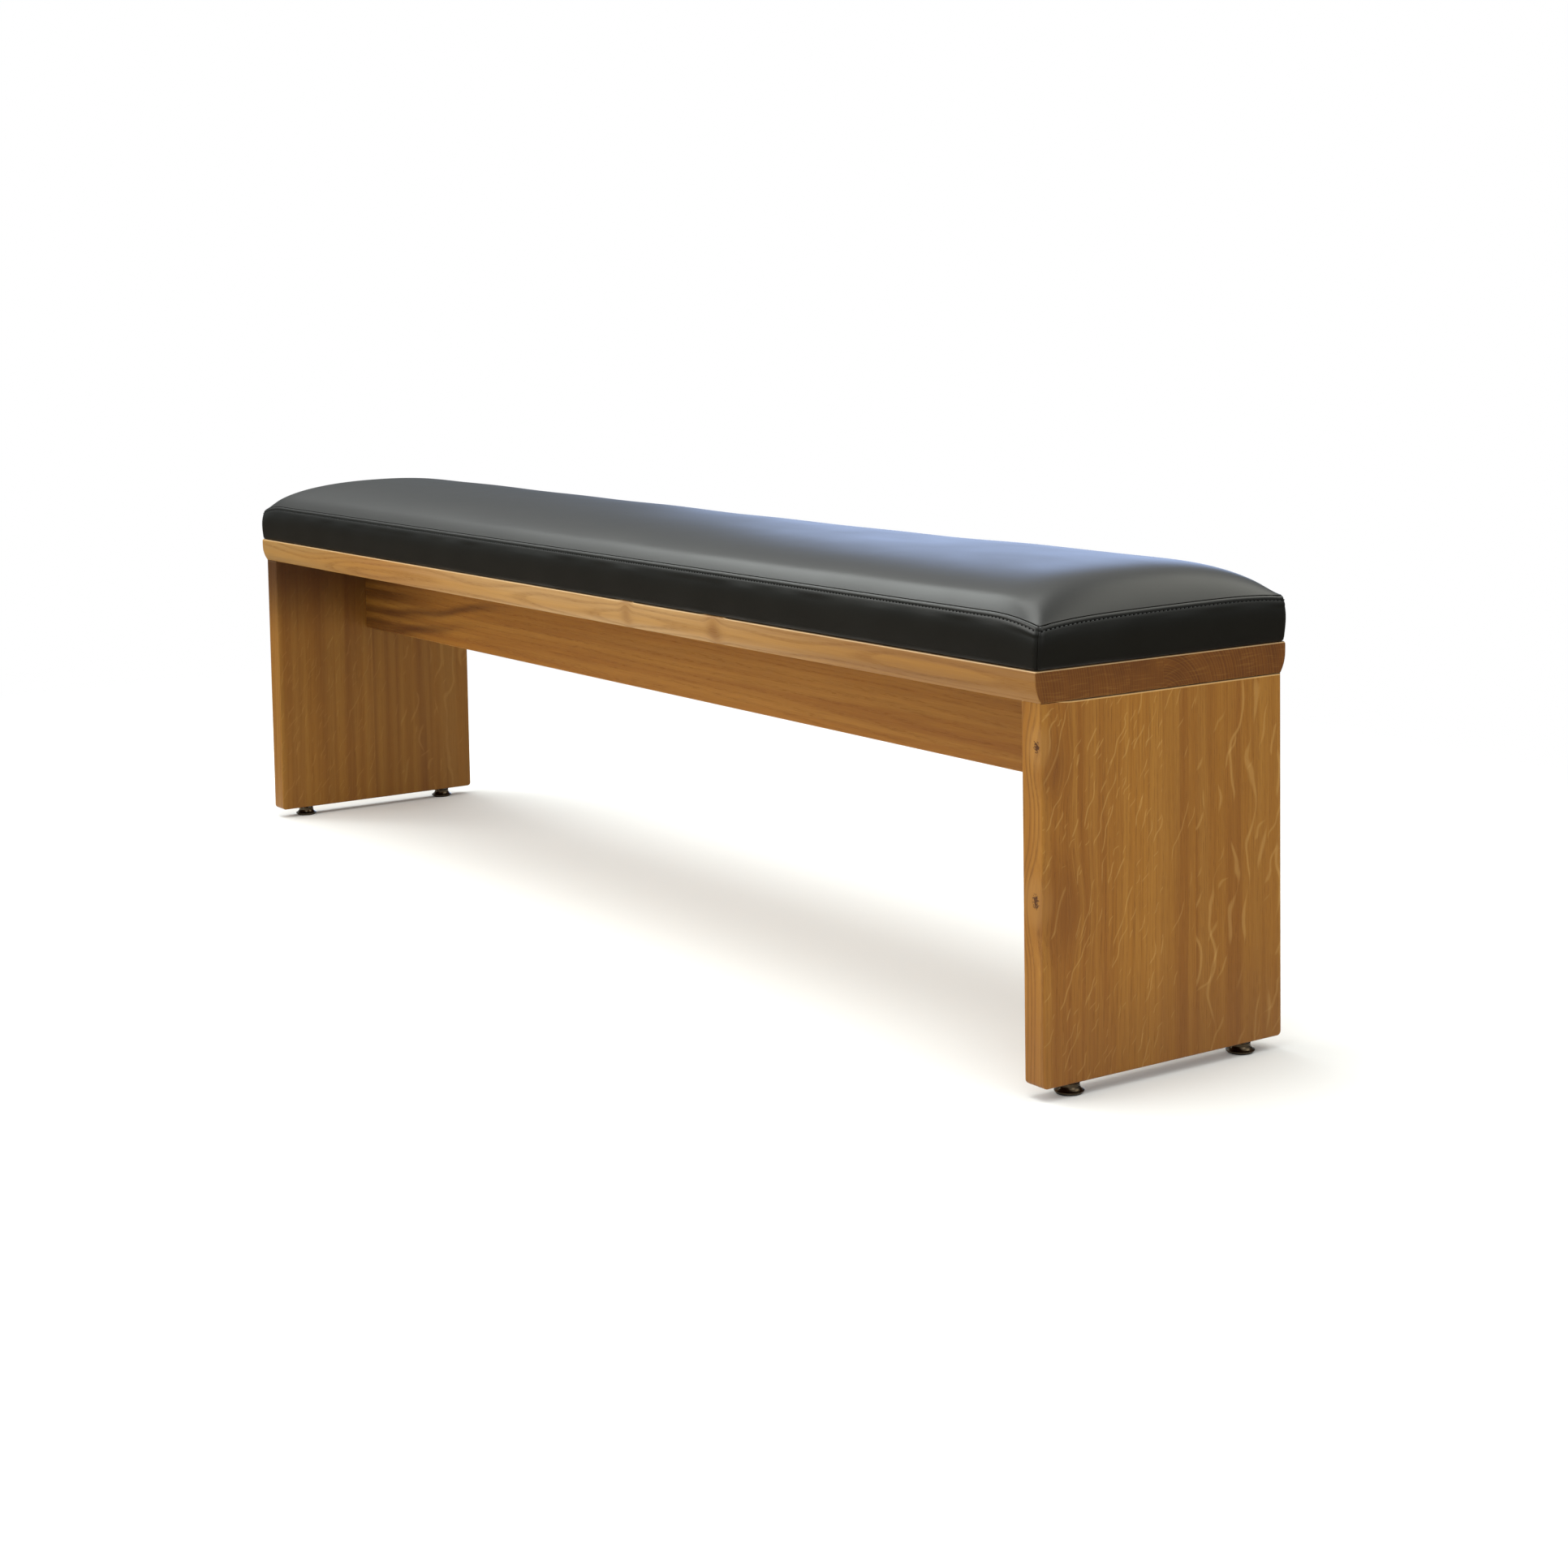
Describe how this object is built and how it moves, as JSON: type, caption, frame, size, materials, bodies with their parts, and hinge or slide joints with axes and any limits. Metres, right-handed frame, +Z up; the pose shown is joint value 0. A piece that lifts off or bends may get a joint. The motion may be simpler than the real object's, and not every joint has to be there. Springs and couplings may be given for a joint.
{
  "type": "upholstered bench",
  "caption": "Long backless bench with slab ends, a central stretcher, an upholstered leather seat pad and swivel levelling feet.",
  "frame": {"origin": "centre of the bench's footprint, on the floor", "axes": "+X along the bench, +Z up, the front faces -Y; the bench is alike front and back"},
  "size_m": [1.8, 0.329, 0.5065],
  "materials": {
    "oiled_oak": "satin",
    "beech": "matte",
    "black_leather": "satin",
    "foam": "matte",
    "plywood": "matte",
    "bottom_cloth": "matte",
    "zinc_steel": "satin",
    "bronzed_metal": "polished",
    "black_nylon": "matte"
  },
  "bodies": {
    "bench": {"left_leg_front_stave": "oiled_oak", "left_leg_middle_stave": "oiled_oak", "left_leg_back_stave": "oiled_oak", "right_leg_front_stave": "oiled_oak", "right_leg_middle_stave": "oiled_oak", "right_leg_back_stave": "oiled_oak", "board_front_stave": "oiled_oak", "board_middle_stave": "oiled_oak", "board_back_stave": "oiled_oak", "stretcher": "oiled_oak", "left_leg_tenons": "beech", "right_leg_tenons": "beech", "left_stretcher_tenons": "beech", "right_stretcher_tenons": "beech", "stretcher_dowels": "beech", "pad_top_panel": "black_leather", "pad_front_boxing": "black_leather", "pad_back_boxing": "black_leather", "pad_left_boxing": "black_leather", "pad_right_boxing": "black_leather", "pad_core": "foam", "pad_base": "plywood", "pad_cloth": "bottom_cloth", "pad_screws": "zinc_steel", "front_left_foot_insert": "zinc_steel", "front_right_foot_insert": "zinc_steel", "back_left_foot_insert": "zinc_steel", "back_right_foot_insert": "zinc_steel"},
    "front_left_foot": {"front_left_foot_base": "bronzed_metal", "front_left_foot_glide": "black_nylon"},
    "front_left_screw": {"front_left_foot_stem": "zinc_steel"},
    "front_right_foot": {"front_right_foot_base": "bronzed_metal", "front_right_foot_glide": "black_nylon"},
    "front_right_screw": {"front_right_foot_stem": "zinc_steel"},
    "back_left_foot": {"back_left_foot_base": "bronzed_metal", "back_left_foot_glide": "black_nylon"},
    "back_left_screw": {"back_left_foot_stem": "zinc_steel"},
    "back_right_foot": {"back_right_foot_base": "bronzed_metal", "back_right_foot_glide": "black_nylon"},
    "back_right_screw": {"back_right_foot_stem": "zinc_steel"}
  },
  "joints": [
    {"name": "front_left_height", "type": "slide", "parent": "bench", "child": "front_left_foot", "axis": [0, 0, -1], "range_m": [-0.0017, 0.01]},
    {"name": "front_left_turn", "type": "hinge", "parent": "front_left_foot", "child": "front_left_screw", "pos_m": [-0.885, -0.114, 0.02], "axis": [0, 0, -1], "range_deg": [-490.6, 2881]},
    {"name": "front_right_height", "type": "slide", "parent": "bench", "child": "front_right_foot", "axis": [0, 0, -1], "range_m": [-0.0017, 0.01]},
    {"name": "front_right_turn", "type": "hinge", "parent": "front_right_foot", "child": "front_right_screw", "pos_m": [0.885, -0.114, 0.02], "axis": [0, 0, -1], "range_deg": [-490.6, 2881]},
    {"name": "back_left_height", "type": "slide", "parent": "bench", "child": "back_left_foot", "axis": [0, 0, -1], "range_m": [-0.0017, 0.01]},
    {"name": "back_left_turn", "type": "hinge", "parent": "back_left_foot", "child": "back_left_screw", "pos_m": [-0.885, 0.114, 0.02], "axis": [0, 0, -1], "range_deg": [-490.6, 2881]},
    {"name": "back_right_height", "type": "slide", "parent": "bench", "child": "back_right_foot", "axis": [0, 0, -1], "range_m": [-0.0017, 0.01]},
    {"name": "back_right_turn", "type": "hinge", "parent": "back_right_foot", "child": "back_right_screw", "pos_m": [0.885, 0.114, 0.02], "axis": [0, 0, -1], "range_deg": [-490.6, 2881]}
  ],
  "couplings": [
    {"joint": "front_left_turn", "follows": "front_left_height", "rad_per_m": 5026.5},
    {"joint": "front_right_turn", "follows": "front_right_height", "rad_per_m": 5026.5},
    {"joint": "back_left_turn", "follows": "back_left_height", "rad_per_m": 5026.5},
    {"joint": "back_right_turn", "follows": "back_right_height", "rad_per_m": 5026.5}
  ]
}
